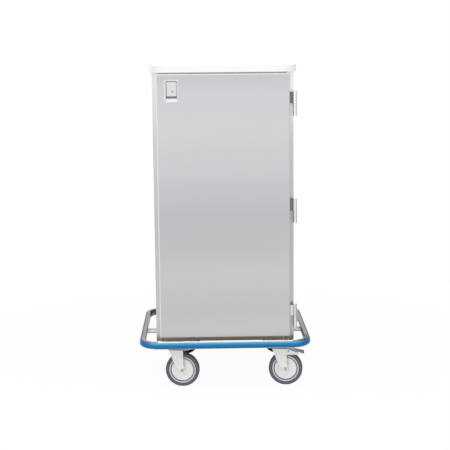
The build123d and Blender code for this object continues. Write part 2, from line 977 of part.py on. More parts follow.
with BuildPart() as latch_screws:
    with BuildSketch(facing(flange_back + latch_screw_head_height)):
        with Locations(*latch_screw_places):
            Circle(latch_screw_head_radius)
    extrude(amount=latch_screw_head_height)
    with BuildSketch(facing(flange_back)):
        with Locations(*latch_screw_places):
            Circle(latch_screw_radius)
    extrude(amount=latch_screw_length)
keep(latch_screws, "latch_screws")

with BuildPart() as strike_plate:
    box(
        -post_inner,
        -post_inner + sheet,
        front + seam_gap,
        front + strike_width,
        latch_z - strike_length / 2,
        latch_z + strike_length / 2,
    )
    box(
        -post_inner,
        -post_inner + sheet,
        bolt_y - bolt_slot_half_depth,
        bolt_y + bolt_slot_half_depth,
        latch_z - bolt_slot_half_height,
        latch_z + bolt_slot_half_height,
        mode=Mode.SUBTRACT,
    )
keep(strike_plate, "strike_plate")

# Casters: a top plate with its kingpin, a pressed fork that turns on it, a wheel
# core with its tyre, the axle, and on two of them a brake pedal.

plate_top = rail_bottom
plate_bottom = plate_top - plate_thickness
race_bottom = crown_top + race_height + race_gap
crown_bottom = crown_top - crown_thickness
half_gap = fork_gap / 2
fork_half = half_gap + leg_thickness
core_half = core_width / 2
groove_half = core_half - groove_depth
disc_half = core_half - disc_recess
hub_radius = bush_radius + hub_wall
bore_radius = bush_radius + axle_clearance

with BuildPart() as caster_bolts:
    for hand in (-1, 1):
        for end in (-1, 1):
            middle = (hand * rail_x, end * caster_y)
            with BuildSketch(Plane.XY.offset(plate_bottom)):
                with Locations(middle):
                    with GridLocations(bolt_spacing_x, bolt_spacing_y, 2, 2):
                        RegularPolygon(bolt_head_flats / 2, hex_sides, major_radius=False)
            extrude(amount=-bolt_head_height)
            with BuildSketch(Plane.XY.offset(plate_bottom)):
                with Locations(middle):
                    with GridLocations(bolt_spacing_x, bolt_spacing_y, 2, 2):
                        Circle(bolt_radius)
            extrude(amount=bolt_grip)
keep(caster_bolts, "caster_bolts")


def top_plate(x, y):
    """The plate that bolts to a rail, with its race and riveted kingpin."""
    with BuildPart() as plate:
        with BuildSketch(Plane.XY.offset(plate_bottom)):
            with Locations((x, y)):
                RectangleRounded(plate_width, plate_length, plate_corner)
                with GridLocations(bolt_spacing_x, bolt_spacing_y, 2, 2):
                    Circle(bolt_radius + bolt_hole_clearance, mode=Mode.SUBTRACT)
        extrude(amount=plate_thickness)
        with BuildSketch(Plane.XY.offset(race_bottom)):
            with Locations((x, y)):
                Circle(race_radius + race_rim)
        extrude(amount=plate_bottom - race_bottom)
        with BuildSketch(Plane.XY.offset(crown_bottom - race_gap)):
            with Locations((x, y)):
                Circle(kingpin_radius)
        extrude(amount=race_bottom - crown_bottom + race_gap)
        with BuildSketch(Plane.XY.offset(crown_bottom - race_gap)):
            with Locations((x, y)):
                Circle(kingpin_head_radius)
        extrude(amount=-kingpin_head_height)
    return plate


def fork(ground, upright, braked):
    """The swivelling fork: a crown and race, two legs, a web and brake cheeks."""
    lean = (leg_bend_x + crown_lead) / (crown_top - leg_bend_height)
    web_run = lean * (crown_top - web_bottom)
    with BuildPart() as body:
        with BuildSketch(ground.offset(crown_bottom)):
            with Locations(((crown_tail - crown_lead) / 2, 0)):
                Rectangle(crown_tail + crown_lead, 2 * fork_half)
        extrude(amount=crown_thickness)
        with BuildSketch(ground.offset(crown_top)):
            Circle(race_radius)
        extrude(amount=race_height)
        for level in (half_gap, -fork_half):
            with BuildSketch(upright.offset(level)):
                with BuildLine():
                    Polyline(
                        (leg_bend_x, leg_bend_height),
                        (-crown_lead, crown_top),
                        (crown_tail, crown_top),
                        (leg_tail, leg_tail_height),
                        (trail + axle_boss_radius, wheel_radius),
                        (trail - axle_boss_radius, wheel_radius),
                    )
                    SagittaArc(
                        (trail - axle_boss_radius, wheel_radius),
                        (leg_bend_x, leg_bend_height),
                        leg_belly,
                    )
                make_face()
                with Locations((trail, wheel_radius)):
                    Circle(axle_boss_radius)
                if braked:
                    with BuildLine():
                        Polyline(
                            (crown_tail - cheek_root, crown_top),
                            (crown_tail, crown_top),
                            (crown_tail + cheek_shoulder, crown_top - cheek_shoulder_drop),
                            (cheek_reach - cheek_nose / 2, cheek_bottom + cheek_nose),
                            (cheek_reach, cheek_bottom),
                            (crown_tail - cheek_root, cheek_bottom),
                            close=True,
                        )
                    make_face()
            extrude(amount=leg_thickness)
        with BuildSketch(upright.offset(-fork_half)):
            with BuildLine():
                Polyline(
                    (-crown_lead, crown_top),
                    (-crown_lead + leg_thickness, crown_top),
                    (-crown_lead + leg_thickness + web_run, web_bottom),
                    (-crown_lead + web_run, web_bottom),
                    close=True,
                )
            make_face()
        extrude(amount=2 * fork_half)
        with BuildSketch(ground.offset(crown_bottom)):
            Circle(kingpin_radius + kingpin_clearance)
        extrude(amount=crown_thickness + race_height, mode=Mode.SUBTRACT)
        with BuildSketch(upright.offset(-fork_half)):
            with Locations((trail, wheel_radius)):
                Circle(axle_radius + axle_clearance)
            if braked:
                with Locations((pedal_pivot_x, pedal_pivot_z)):
                    Circle(pedal_pin_radius + pedal_pin_clearance)
        extrude(amount=2 * fork_half, mode=Mode.SUBTRACT)
    return body


def brake_pedal(upright):
    """A brake pedal: lever, tread pad, pivot pin and a shoe over the tyre.

    The shoe is hollowed to the tyre as it stands once the pedal is pressed down.
    """
    heel_x = pedal_pivot_x - pedal_heel
    toe_z = pedal_top - pedal_drop
    slope = pedal_drop / (pedal_reach - heel_x)
    pad_x = pedal_reach - pedal_pad_length
    pad_z = toe_z + slope * pedal_pad_length
    hub_side = pedal_pivot_x + pedal_hub_radius
    hub_lift = pedal_top - slope * (hub_side - heel_x)
    travel = radians(pedal_travel)
    arm_x = trail - pedal_pivot_x
    arm_z = wheel_radius - pedal_pivot_z
    pressed_x = pedal_pivot_x + arm_x * cos(travel) - arm_z * sin(travel)
    pressed_z = pedal_pivot_z + arm_x * sin(travel) + arm_z * cos(travel)
    with BuildPart() as pedal:
        with BuildSketch(upright.offset(-pedal_arm_width / 2)):
            with BuildLine():
                Polyline(
                    (heel_x, pedal_top),
                    (pedal_reach, toe_z),
                    (pedal_reach, toe_z - pedal_thickness),
                    (heel_x, pedal_top - pedal_thickness),
                    close=True,
                )
            make_face()
            with BuildLine():
                Polyline(
                    (heel_x, pedal_pivot_z),
                    (hub_side, pedal_pivot_z),
                    (hub_side, hub_lift),
                    (heel_x, pedal_top),
                    close=True,
                )
            make_face()
            with Locations((pedal_pivot_x, pedal_pivot_z)):
                Circle(pedal_hub_radius)
        extrude(amount=pedal_arm_width)
        with BuildSketch(upright.offset(-pedal_width / 2)):
            with BuildLine():
                Polyline(
                    (pad_x, pad_z),
                    (pedal_reach, toe_z),
                    (pedal_reach, toe_z - pedal_thickness),
                    (pad_x, pad_z - pedal_thickness),
                    close=True,
                )
            make_face()
        extrude(amount=pedal_width)
        with BuildSketch(upright.offset(-shoe_width / 2)):
            with BuildLine():
                Polyline(
                    (pedal_pivot_x, pedal_pivot_z),
                    (pedal_pivot_x, pedal_pivot_z - pedal_hub_radius),
                    (pedal_pivot_x + shoe_reach, pedal_pivot_z - shoe_drop),
                    (pedal_pivot_x + shoe_reach, pad_z),
                    close=True,
                )
            make_face()
            with Locations((pressed_x, pressed_z)):
                Circle(wheel_radius + shoe_clearance, mode=Mode.SUBTRACT)
        extrude(amount=shoe_width)
        with BuildSketch(upright.offset(-fork_half)):
            with Locations((pedal_pivot_x, pedal_pivot_z)):
                Circle(pedal_pin_radius)
        extrude(amount=2 * fork_half)
    return pedal


def wheel_core(section, axis):
    """The moulded wheel: hub, flat disc, a groove round it and the rim."""
    with BuildPart() as core:
        with BuildSketch(section):
            with BuildLine():
                right = [
                    (hub_width / 2, bore_radius),
                    (hub_width / 2, hub_radius),
                    (disc_half, hub_radius),
                    (disc_half, disc_radius),
                    (groove_half, disc_radius),
                    (groove_half, rim_lip_inner_radius),
                    (core_half, rim_lip_inner_radius),
                    (core_half, tyre_inner_radius),
                ]
                left = [(-width, radius) for width, radius in reversed(right)]
                Polyline(*right, *left, close=True)
            make_face()
        revolve(axis=axis)
    return core


def tyre(section, axis):
    """The tyre: a band with rounded shoulders bonded to the rim."""
    with BuildPart() as band:
        with BuildSketch(section) as profile:
            with Locations((0, (tyre_inner_radius + wheel_radius) / 2)):
                Rectangle(tyre_width, wheel_radius - tyre_inner_radius)
            fillet(profile.vertices().group_by(Axis.Y)[-1], tread_round)
        revolve(axis=axis)
    return band


def axle(upright):
    """The axle bolt with its bush, a socket head in front and a nut behind."""
    with BuildPart() as bolt:
        with BuildSketch(upright.offset(-half_gap)):
            with Locations((trail, wheel_radius)):
                Circle(bush_radius)
        extrude(amount=fork_gap)
        with BuildSketch(upright.offset(-fork_half - axle_head_height)):
            with Locations((trail, wheel_radius)):
                Circle(axle_radius)
        extrude(amount=2 * fork_half + axle_head_height)
        with BuildSketch(upright.offset(-fork_half)):
            with Locations((trail, wheel_radius)):
                RegularPolygon(axle_head_radius, hex_sides)
        extrude(amount=-axle_head_height)
        with BuildSketch(upright.offset(fork_half)):
            with Locations((trail, wheel_radius)):
                Circle(axle_head_radius)
        extrude(amount=axle_head_height)
        with BuildSketch(upright.offset(fork_half + axle_head_height)):
            with Locations((trail, wheel_radius)):
                RegularPolygon(axle_socket_radius, hex_sides)
        extrude(amount=-axle_socket_depth, mode=Mode.SUBTRACT)
    return bolt


for corner, (hand, end, turn, braked) in casters.items():
    x = hand * rail_x
    y = end * caster_y
    along = (cos(radians(turn)), sin(radians(turn)), 0)
    outward = (sin(radians(turn)), -cos(radians(turn)), 0)
    hub = (x + trail * along[0], y + trail * along[1], wheel_radius)
    ground = Plane(origin=(x, y, 0), x_dir=along, z_dir=(0, 0, 1))
    upright = Plane(origin=(x, y, 0), x_dir=along, z_dir=outward)
    section = Plane(origin=hub, x_dir=(-outward[0], -outward[1], 0), z_dir=along)
    spin = Axis(hub, outward)
    keep(top_plate(x, y), f"caster_plate_{corner}")
    keep(fork(ground, upright, braked), f"caster_fork_{corner}")
    keep(wheel_core(section, spin), f"wheel_core_{corner}")
    keep(tyre(section, spin), f"tyre_{corner}")
    keep(axle(upright), f"axle_{corner}")
    if braked:
        keep(brake_pedal(upright), f"brake_pedal_{corner}")
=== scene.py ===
"""A closed case cart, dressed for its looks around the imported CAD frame."""

import json
import math

import bpy
import numpy as np
from mathutils import Matrix, Vector


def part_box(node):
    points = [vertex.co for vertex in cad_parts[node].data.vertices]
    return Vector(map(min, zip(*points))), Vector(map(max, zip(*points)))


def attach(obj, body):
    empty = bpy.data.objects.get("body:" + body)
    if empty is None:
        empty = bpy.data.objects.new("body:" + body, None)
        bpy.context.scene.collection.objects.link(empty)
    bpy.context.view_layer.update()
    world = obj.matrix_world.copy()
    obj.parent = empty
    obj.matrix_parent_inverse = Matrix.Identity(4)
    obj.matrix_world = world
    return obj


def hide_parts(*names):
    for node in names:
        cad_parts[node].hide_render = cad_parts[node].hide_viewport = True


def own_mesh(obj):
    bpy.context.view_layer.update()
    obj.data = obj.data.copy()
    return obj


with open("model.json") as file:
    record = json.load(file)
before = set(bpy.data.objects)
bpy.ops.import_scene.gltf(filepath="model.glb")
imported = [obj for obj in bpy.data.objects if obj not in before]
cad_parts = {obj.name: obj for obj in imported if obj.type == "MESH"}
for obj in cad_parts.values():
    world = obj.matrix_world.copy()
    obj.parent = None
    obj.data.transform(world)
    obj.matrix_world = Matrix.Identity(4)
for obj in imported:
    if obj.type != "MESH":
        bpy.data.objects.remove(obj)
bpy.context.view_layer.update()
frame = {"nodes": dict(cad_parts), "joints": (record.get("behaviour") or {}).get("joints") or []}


# Studio. The cart stands on a white paper floor in a white room. The camera
# stands five metres off at the height of the roof and looks slightly down.

scene = bpy.context.scene
scene.view_settings.view_transform = "Standard"

camera_place = Vector((-0.087, -5.023, 1.429))
camera_yaw = math.radians(1.1)
camera_pitch = math.radians(8.35)
camera_roll = math.radians(0.55)
camera_lens = 86.4
camera_sensor = 36


def aim_camera(place, yaw, pitch, roll):
    """A camera's matrix.

    The view direction comes from the yaw and pitch angles. The sideways and
    upward directions are square to it and then turned about it by the roll.
    """
    ahead = Vector(
        (
            math.sin(yaw) * math.cos(pitch),
            math.cos(yaw) * math.cos(pitch),
            -math.sin(pitch),
        )
    )
    across = Vector((math.cos(yaw), -math.sin(yaw), 0))
    down = ahead.cross(across)
    right = math.cos(roll) * across + math.sin(roll) * down
    below = math.cos(roll) * down - math.sin(roll) * across
    turn = Matrix((right, -below, -ahead)).transposed()
    return Matrix.Translation(place) @ turn.to_4x4()


camera = bpy.data.objects.new("camera", bpy.data.cameras.new("camera"))
camera.data.lens = camera_lens
camera.data.sensor_width = camera_sensor
camera.matrix_world = aim_camera(camera_place, camera_yaw, camera_pitch, camera_roll)
scene.collection.objects.link(camera)
scene.camera = camera


def add_lamp(name, place, target, size, power):
    """A rectangular soft box that stands at a place and faces a target."""
    lamp = bpy.data.lights.new(name, "AREA")
    lamp.shape = "RECTANGLE"
    lamp.size, lamp.size_y = size
    lamp.energy = power
    body = bpy.data.objects.new(name, lamp)
    place = Vector(place)
    body.location = place
    body.rotation_euler = (Vector(target) - place).to_track_quat("-Z", "Y").to_euler()
    scene.collection.objects.link(body)


add_lamp("overhead_box", (-0.3, -1.2, 3.6), (0, 0, 0.6), (3.2, 2.4), 62)
add_lamp("left_box", (-3.2, -2.6, 2.2), (0, 0, 0.7), (1.6, 2.4), 32)
add_lamp("right_box", (3.4, -1.8, 1.9), (0, 0, 0.7), (1.6, 2.4), 22)


def join(tree, value, socket):
    """Feeds a socket from another one, or gives it a plain value."""
    if isinstance(value, bpy.types.NodeSocket):
        tree.links.new(value, socket)
    else:
        socket.default_value = value


def math_node(tree, operation, *values):
    """A math node whose inputs are sockets or plain numbers."""
    node = tree.nodes.new("ShaderNodeMath")
    node.operation = operation
    for socket, value in zip(node.inputs, values):
        join(tree, value, socket)
    return node.outputs[0]


def map_range(tree, value, start, stop, low, high, blend="LINEAR"):
    """A value taken from one range to another, held at its ends."""
    node = tree.nodes.new("ShaderNodeMapRange")
    node.interpolation_type = blend
    for socket, given in zip(node.inputs, (value, start, stop, low, high)):
        join(tree, given, socket)
    return node.outputs[0]


def seen_directly(tree):
    """One for the eye, in gloss and through glass, and nought for matt light."""
    path = tree.nodes.new("ShaderNodeLightPath").outputs
    seen = math_node(tree, "MAXIMUM", path["Is Camera Ray"], path["Is Glossy Ray"])
    return math_node(tree, "MAXIMUM", seen, path["Is Transmission Ray"])


room_light = 0.62


def white_room():
    """White for the eye and for gloss, and a softer fill for matt surfaces."""
    world = bpy.data.worlds.new("white_room")
    scene.world = world
    world.use_nodes = True
    tree = world.node_tree
    background = tree.nodes["Background"]
    background.inputs["Color"].default_value = (1, 1, 1, 1)
    level = map_range(tree, seen_directly(tree), 0.0, 1.0, room_light, 1.0)
    tree.links.new(level, background.inputs["Strength"])


white_room()

floor_half = 30
shadow_share = 0.05
clear_radius = 0.9
white_radius = 2.4
paper_grey = (0.86, 0.86, 0.86, 1)


def paper_floor():
    """A flat white sheet. Far from the cart it shows as pure white, and near it
    a share of its real light is mixed in, so that the shadow stays."""
    corners = np.array([(-1, -1, 0), (1, -1, 0), (1, 1, 0), (-1, 1, 0)]) * floor_half
    sheet = bpy.data.meshes.new("paper_floor")
    sheet.from_pydata(corners.tolist(), [], [(0, 1, 2, 3)])
    floor = bpy.data.objects.new("paper_floor", sheet)
    scene.collection.objects.link(floor)
    paper = bpy.data.materials.new("white_paper")
    paper.use_nodes = True
    tree = paper.node_tree
    tree.nodes.clear()
    reach = tree.nodes.new("ShaderNodeVectorMath")
    reach.operation = "LENGTH"
    place = tree.nodes.new("ShaderNodeTexCoord").outputs["Object"]
    tree.links.new(place, reach.inputs[0])
    edges = (clear_radius, white_radius, 1 - shadow_share, 1.0)
    fade = map_range(tree, reach.outputs["Value"], *edges, "SMOOTHSTEP")
    share = math_node(tree, "MULTIPLY", seen_directly(tree), fade)
    matt = tree.nodes.new("ShaderNodeBsdfDiffuse")
    matt.inputs["Color"].default_value = paper_grey
    glow = tree.nodes.new("ShaderNodeEmission")
    glow.inputs["Color"].default_value = (1, 1, 1, 1)
    mix = tree.nodes.new("ShaderNodeMixShader")
    for socket, source in zip(mix.inputs, (share, matt.outputs[0], glow.outputs[0])):
        tree.links.new(source, socket)
    end = tree.nodes.new("ShaderNodeOutputMaterial")
    tree.links.new(mix.outputs[0], end.inputs["Surface"])
    sheet.materials.append(paper)


paper_floor()


# Side and back panels. Flat satin stainless sheets, ground with an upright
# grain and spot welded to the shelf uprights and to each other at the corners.


def new_group(name, inputs, outputs):
    """An empty shader node group: a place, inputs with their values, outputs."""
    group = bpy.data.node_groups.new(name, "ShaderNodeTree")
    new_socket = group.interface.new_socket
    new_socket("Place", in_out="INPUT", socket_type="NodeSocketVector").hide_value = True
    for label, value in inputs.items():
        kind = "NodeSocketFloat" if isinstance(value, float) else "NodeSocketVector"
        new_socket(label, in_out="INPUT", socket_type=kind).default_value = value
    for label in outputs:
        new_socket(label, in_out="OUTPUT", socket_type="NodeSocketFloat")
    start = group.nodes.new("NodeGroupInput").outputs
    return group, start, group.nodes.new("NodeGroupOutput").inputs


def vector_node(tree, operation, *values):
    """A vector math node whose inputs are sockets or plain vectors."""
    node = tree.nodes.new("ShaderNodeVectorMath")
    node.operation = operation
    for socket, value in zip(node.inputs, values):
        join(tree, value, socket)
    scalar = operation in ("LENGTH", "DOT_PRODUCT")
    return node.outputs["Value" if scalar else "Vector"]


def noise_node(tree, place, scale, detail, roughness):
    """A noise pattern around zero on a place vector."""
    noise = tree.nodes.new("ShaderNodeTexNoise")
    for label, value in (("Scale", scale), ("Detail", detail), ("Roughness", roughness)):
        noise.inputs[label].default_value = value
    tree.links.new(place, noise.inputs["Vector"])
    return math_node(tree, "SUBTRACT", noise.outputs["Fac"], 0.5)


def sum_of(tree, *values):
    """Several values added up."""
    total = values[0]
    for value in values[1:]:
        total = math_node(tree, "ADD", total, value)
    return total


line_stretch, line_scale = (1, 1, 0.012), 1400
band_stretch, band_scale = (1, 1, 0.05), 90
smear_stretch, smear_scale = (1, 1, 0.6), 5.5
drift_scale = 0.9
smear_share = 0.3


def grain_group():
    """Ground steel: long thin lines along Z, hand smears and a slow drift.

    Each noise is stretched along Z by shrinking the place vector there. Tone
    is one plus small signed noises, Gloss is a signed change of roughness, and
    Height is the fine line noise for the bump.
    """
    values = {"Line depth": 0.03, "Smear": 0.05, "Drift": 0.03}
    group, start, end = new_group("ground_grain", values, ("Tone", "Gloss", "Height"))
    place = start["Place"]
    line_place = vector_node(group, "MULTIPLY", place, line_stretch)
    band_place = vector_node(group, "MULTIPLY", place, band_stretch)
    smear_place = vector_node(group, "MULTIPLY", place, smear_stretch)
    lines = noise_node(group, line_place, line_scale, detail=3.0, roughness=0.7)
    bands = noise_node(group, band_place, band_scale, detail=3.0, roughness=0.6)
    smears = noise_node(group, smear_place, smear_scale, detail=4.0, roughness=0.55)
    drift = noise_node(group, place, drift_scale, detail=1.0, roughness=0.4)
    line_tone = math_node(group, "MULTIPLY", lines, start["Line depth"])
    band_tone = math_node(group, "MULTIPLY", bands, start["Line depth"])
    smear_tone = math_node(group, "MULTIPLY", smears, start["Smear"])
    drift_tone = math_node(group, "MULTIPLY", drift, start["Drift"])
    faint_smear = math_node(group, "MULTIPLY", smear_tone, smear_share)
    tone = sum_of(group, line_tone, band_tone, drift_tone, faint_smear, 1.0)
    join(group, tone, end["Tone"])
    join(group, sum_of(group, smear_tone, line_tone), end["Gloss"])
    join(group, lines, end["Height"])
    return group


ground_grain = grain_group()
edge_soft = 0.0006


def box_group():
    """How far a place is inside a box: Inside fills it and Rim is a band on it.

    The signed distance is the largest of |place - centre| - half over the
    three axes. Inside is clamp(0.5 - distance / soft), and Rim is
    clamp(0.5 + (band / 2 - |distance|) / soft).
    """
    values = {"Centre": (0, 0, 0), "Half": (1, 1, 1), "Band": 0.004, "Soft": edge_soft}
    group, start, end = new_group("box_field", values, ("Inside", "Rim"))
    away = vector_node(group, "SUBTRACT", start["Place"], start["Centre"])
    away = vector_node(group, "ABSOLUTE", away)
    away = vector_node(group, "SUBTRACT", away, start["Half"])
    parts = group.nodes.new("ShaderNodeSeparateXYZ")
    group.links.new(away, parts.inputs[0])
    distance = math_node(group, "MAXIMUM", parts.outputs[0], parts.outputs[1])
    distance = math_node(group, "MAXIMUM", distance, parts.outputs[2])
    depth = math_node(group, "DIVIDE", distance, start["Soft"])
    join(group, map_range(group, depth, -0.5, 0.5, 1.0, 0.0), end["Inside"])
    half_band = math_node(group, "MULTIPLY", start["Band"], 0.5)
    off = math_node(group, "SUBTRACT", math_node(group, "ABSOLUTE", distance), half_band)
    off = math_node(group, "DIVIDE", off, start["Soft"])
    join(group, map_range(group, off, -0.5, 0.5, 1.0, 0.0), end["Rim"])
    return group


box_field = box_group()
weld_radius = 0.0035
weld_core = 0.6


def weld_group():
    """A row of round spot welds along Z, as a mask of soft dots.

    The distance from the nearest weld is that of the offset along Across and
    the height folded into one pitch. The mask is one out to a share of the
    radius, the weld's core, and falls to nought at the radius.
    """
    values = {"Origin": (0, 0, 0), "Across": (0, 1, 0), "Pitch": 0.06, "Radius": weld_radius}
    group, start, end = new_group("spot_welds", values, ("Mask",))
    away = vector_node(group, "SUBTRACT", start["Place"], start["Origin"])
    aside = vector_node(group, "DOT_PRODUCT", away, start["Across"])
    parts = group.nodes.new("ShaderNodeSeparateXYZ")
    group.links.new(away, parts.inputs[0])
    turns = math_node(group, "DIVIDE", parts.outputs[2], start["Pitch"])
    folded = math_node(group, "SUBTRACT", math_node(group, "FRACT", turns), 0.5)
    along = math_node(group, "MULTIPLY", folded, start["Pitch"])
    squares = [math_node(group, "POWER", offset, 2) for offset in (aside, along)]
    distance = math_node(group, "SQRT", sum_of(group, *squares))
    inner = math_node(group, "MULTIPLY", start["Radius"], weld_core)
    join(group, map_range(group, distance, inner, start["Radius"], 1.0, 0.0), end["Mask"])
    return group


spot_welds = weld_group()


def placed(tree, group, place, values):
    """A group put into a material with its own values; gives its outputs."""
    node = tree.nodes.new("ShaderNodeGroup")
    node.node_tree = group
    tree.links.new(place, node.inputs["Place"])
    for label, value in values.items():
        node.inputs[label].default_value = value
    return node.outputs


def new_material(name):
    """A material with its node tree, its shader and an Object coordinate."""
    finish = bpy.data.materials.new(name)
    finish.use_nodes = True
    tree = finish.node_tree
    place = tree.nodes.new("ShaderNodeTexCoord").outputs["Object"]
    return finish, tree, tree.nodes["Principled BSDF"], place


def colour_along(tree, place, bands):
    """A colour that changes with height, through (height, colour) pairs."""
    heights, colours = zip(*bands)
    parts = tree.nodes.new("ShaderNodeSeparateXYZ")
    tree.links.new(place, parts.inputs[0])
    share = map_range(tree, parts.outputs[2], heights[0], heights[-1], 0.0, 1.0)
    ramp = tree.nodes.new("ShaderNodeValToRGB")
    ramp.color_ramp.interpolation = "EASE"
    stops = ramp.color_ramp.elements
    span = heights[-1] - heights[0]
    while len(stops) < len(bands):
        stops.new(1.0)
    for stop, height, colour in zip(stops, heights, colours):
        stop.position = (height - heights[0]) / span
        stop.color = (*colour, 1)
    tree.links.new(share, ramp.inputs["Fac"])
    return ramp.outputs["Color"]


def laid_over(tree, mask, under, over):
    """A colour laid over another one by a mask."""
    mix = tree.nodes.new("ShaderNodeMix")
    mix.data_type = "RGBA"
    below, above = [socket for socket in mix.inputs if socket.type == "RGBA"]
    tree.links.new(mask, mix.inputs[0])
    for socket, colour in ((below, under), (above, over)):
        join(tree, colour if isinstance(colour, bpy.types.NodeSocket) else (*colour, 1), socket)
    return next(socket for socket in mix.outputs if socket.type == "RGBA")


def mask_of(tree, place, mark):
    """The mask of a mark, which is (group, output, values, paint)."""
    group, output, values, _ = mark
    return placed(tree, group, place, values)[output]


def painted(tree, place, paint):
    """A plain colour as it is, or (height, colour) pairs as a changing one."""
    return colour_along(tree, place, paint) if isinstance(paint, list) else paint


def marked(tree, place, paint, marks):
    """A paint with the paint of each mark laid over it in turn."""
    colour = painted(tree, place, paint)
    for mark in marks:
        over = painted(tree, place, mark[-1])
        colour = laid_over(tree, mask_of(tree, place, mark), colour, over)
    return colour


def turned(tree, place, turn):
    """A place vector turned by three angles in degrees."""
    mapping = tree.nodes.new("ShaderNodeMapping")
    mapping.inputs["Rotation"].default_value = [math.radians(angle) for angle in turn]
    tree.links.new(place, mapping.inputs["Vector"])
    return mapping.outputs[0]


def toned(tree, tone, colour):
    """A colour, plain or from a socket, multiplied by a tone value."""
    scale = tree.nodes.new("ShaderNodeVectorMath")
    scale.operation = "SCALE"
    join(tree, colour, scale.inputs[0])
    tree.links.new(tone, scale.inputs["Scale"])
    return scale.outputs[0]


def add_bump(tree, shader, height, depth):
    """A bump of a given depth in metres on a shader."""
    bump = tree.nodes.new("ShaderNodeBump")
    bump.inputs["Distance"].default_value = depth
    tree.links.new(height, bump.inputs["Height"])
    tree.links.new(bump.outputs[0], shader.inputs["Normal"])


upright = (0, 0, 0)
grain_depth = 0.00004


def ground_steel(
    name, paint, roughness, turn=upright, lines=0.03, smear=0.05, marks=(), matt_patch=None
):
    """Ground stainless steel with its grain upright, or turned another way.

    A matt patch is a mark made non-metallic, so that its painted colour shows plainly, with no
    reflection of its own.
    """
    finish, tree, shader, place = new_material(name)
    values = {"Line depth": lines, "Smear": smear}
    grain = placed(tree, ground_grain, turned(tree, place, turn), values)
    colour = marked(tree, place, paint, marks)
    tree.links.new(toned(tree, grain["Tone"], colour), shader.inputs["Base Color"])
    rough = math_node(tree, "ADD", grain["Gloss"], roughness)
    tree.links.new(rough, shader.inputs["Roughness"])
    shader.inputs["Metallic"].default_value = 1.0
    if matt_patch:
        shine = math_node(tree, "SUBTRACT", 1.0, mask_of(tree, place, matt_patch))
        tree.links.new(shine, shader.inputs["Metallic"])
    add_bump(tree, shader, grain["Height"], grain_depth)
    return finish


def block(low, high, paint, soft=edge_soft):
    """A mark that fills the box between two corners."""
    low, high = np.array(low), np.array(high)
    values = {"Centre": (low + high) / 2, "Half": (high - low) / 2, "Soft": soft}
    return box_field, "Inside", values, paint


def outline(low, high, band, paint):
    """A mark along the faces of the box between two corners."""
    group, _, values, _ = block(low, high, paint)
    return group, "Rim", {**values, "Band": band}, paint


def weld_row(origin, across, pitch):
    """A mark for a row of spot welds that runs up from a place."""
    values = {"Origin": origin, "Across": across, "Pitch": pitch}
    return spot_welds, "Mask", values, weld_tone


nodes = frame["nodes"]


def dress(finish, *names):
    """Puts a finish on every material slot of the named CAD pieces."""
    for name in names:
        for slot in nodes[name].material_slots:
            slot.material = finish


# A place beyond every face of the cart, for marks that run past its edges.
far = 9.0

along_x, along_y = (1, 0, 0), (0, 1, 0)
weld_tone = (0.5, 0.5, 0.51)
seam_tone = (0.42, 0.42, 0.43)
seam_band = 0.003
side_weld_rows, side_weld_pitch = (-0.242, 0.242), 0.125
back_weld_rows, back_weld_pitch = (-0.3, 0.3), 0.09
# Painted reflection on the walls and posts: the steel is painted paler towards the top.
wall_painted_sheen = [
    (0.21, (0.58, 0.58, 0.58)),
    (0.40, (0.57, 0.575, 0.585)),
    (0.71, (0.555, 0.56, 0.57)),
    (1.07, (0.62, 0.63, 0.645)),
    (1.34, (0.76, 0.77, 0.79)),
    (1.44, (0.80, 0.81, 0.83)),
]
panel_low, panel_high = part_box("side_panel_right")
side_marks = [weld_row((0, y, 0), along_y, side_weld_pitch) for y in side_weld_rows]
side_marks.append(
    outline((-far, panel_low[1], -far), (far, panel_high[1], far), seam_band, seam_tone)
)
side_steel = ground_steel("side_steel", wall_painted_sheen, 0.36, marks=side_marks)
dress(side_steel, "side_panel_left", "side_panel_right")

back_marks = [weld_row((x, 0, 0), along_x, back_weld_pitch) for x in back_weld_rows]
back_steel = ground_steel("back_steel", wall_painted_sheen, 0.36, marks=back_marks)
dress(back_steel, "back_panel")


# Front frame. Angle posts, a header and a sill are bent from the same sheet
# and welded in behind the door, and a kick strip crosses the sill. The kick
# strip is painted dark as painted shade under the door, and a painted shadow
# of the roof cap lies along the header's top.


def across_slice(start, stop, paint, soft=edge_soft):
    """A mark over everything between two places along X."""
    return block((start, -far, -far), (stop, far, far), paint, soft)


def level_slice(start, stop, paint, soft=edge_soft):
    """A mark over everything between two heights."""
    return block((-far, -far, start), (far, far, stop), paint, soft)


# The right post is painted a little darker and bluer than the left one, as painted shade, and
# also paler towards the top as a painted reflection.
right_post_painted_shade = [
    (0.21, (0.47, 0.47, 0.475)),
    (0.40, (0.52, 0.52, 0.525)),
    (0.71, (0.495, 0.495, 0.51)),
    (1.07, (0.58, 0.59, 0.61)),
    (1.34, (0.86, 0.865, 0.89)),
    (1.44, (0.86, 0.865, 0.89)),
]
right_post_shade_mark = across_slice(0, far, right_post_painted_shade)
post_steel = ground_steel("post_steel", wall_painted_sheen, 0.36, marks=[right_post_shade_mark])
dress(post_steel, "door_posts")

inner_steel = ground_steel("inner_steel", (0.58, 0.585, 0.59), 0.34)
dress(inner_steel, "floor_panel")

sideways = (0, 90, 0)
cap_shade_low, cap_shade_high = 1.3985, 1.4045
cap_shade = level_slice(cap_shade_low, cap_shade_high, (0.50, 0.44, 0.46))
header_steel = ground_steel("header_steel", (0.86, 0.85, 0.87), 0.34, sideways, marks=[cap_shade])
dress(header_steel, "header")

